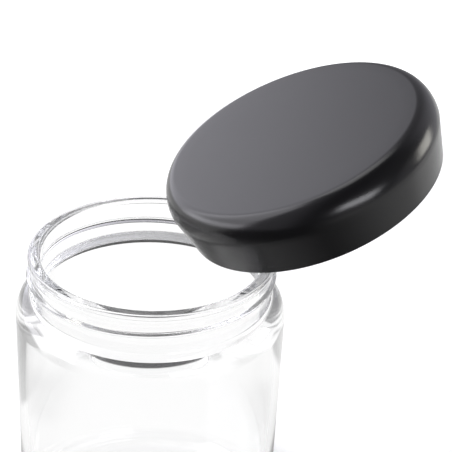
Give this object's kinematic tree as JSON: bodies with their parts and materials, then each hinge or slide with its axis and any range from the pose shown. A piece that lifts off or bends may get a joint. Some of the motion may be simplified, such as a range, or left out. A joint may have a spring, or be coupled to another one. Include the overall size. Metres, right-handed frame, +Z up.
{
  "type": "storage jar",
  "caption": "Clear glass storage jar with a straight round body and threaded neck, and a smooth black screw lid lifted off and tilted beside the mouth.",
  "frame": {"origin": "centre of the jar's flat base", "axes": "+Z up along the jar's axis, +X to the right and -Y towards the viewer of the picture"},
  "size_m": [0.1128, 0.0843, 0.1373],
  "materials": {
    "clear_glass": "polished clear glass",
    "black_cover": "smooth satin black plastic",
    "black_insert": "plain moulded black plastic",
    "foam_liner": "soft matt foam"
  },
  "bodies": {
    "jar": {"jar": "clear_glass"},
    "liner": {"lid_liner": "foam_liner"},
    "cap": {"lid_shell": "black_cover", "lid_insert": "black_insert"}
  },
  "joints": [
    {"name": "lid_swing", "type": "hinge", "parent": "jar", "child": "liner", "pos_m": [-0.00903, -0.00215, 0.2003], "axis": [-0.2317, 0.9728, 0], "range_deg": [0, 24.75]},
    {"name": "lid_turn", "type": "hinge", "parent": "liner", "child": "cap", "pos_m": [0.04287, 0.01021, 0.10674], "axis": [0.4073, 0.097, -0.9081], "range_deg": [0, 250]}
  ]
}
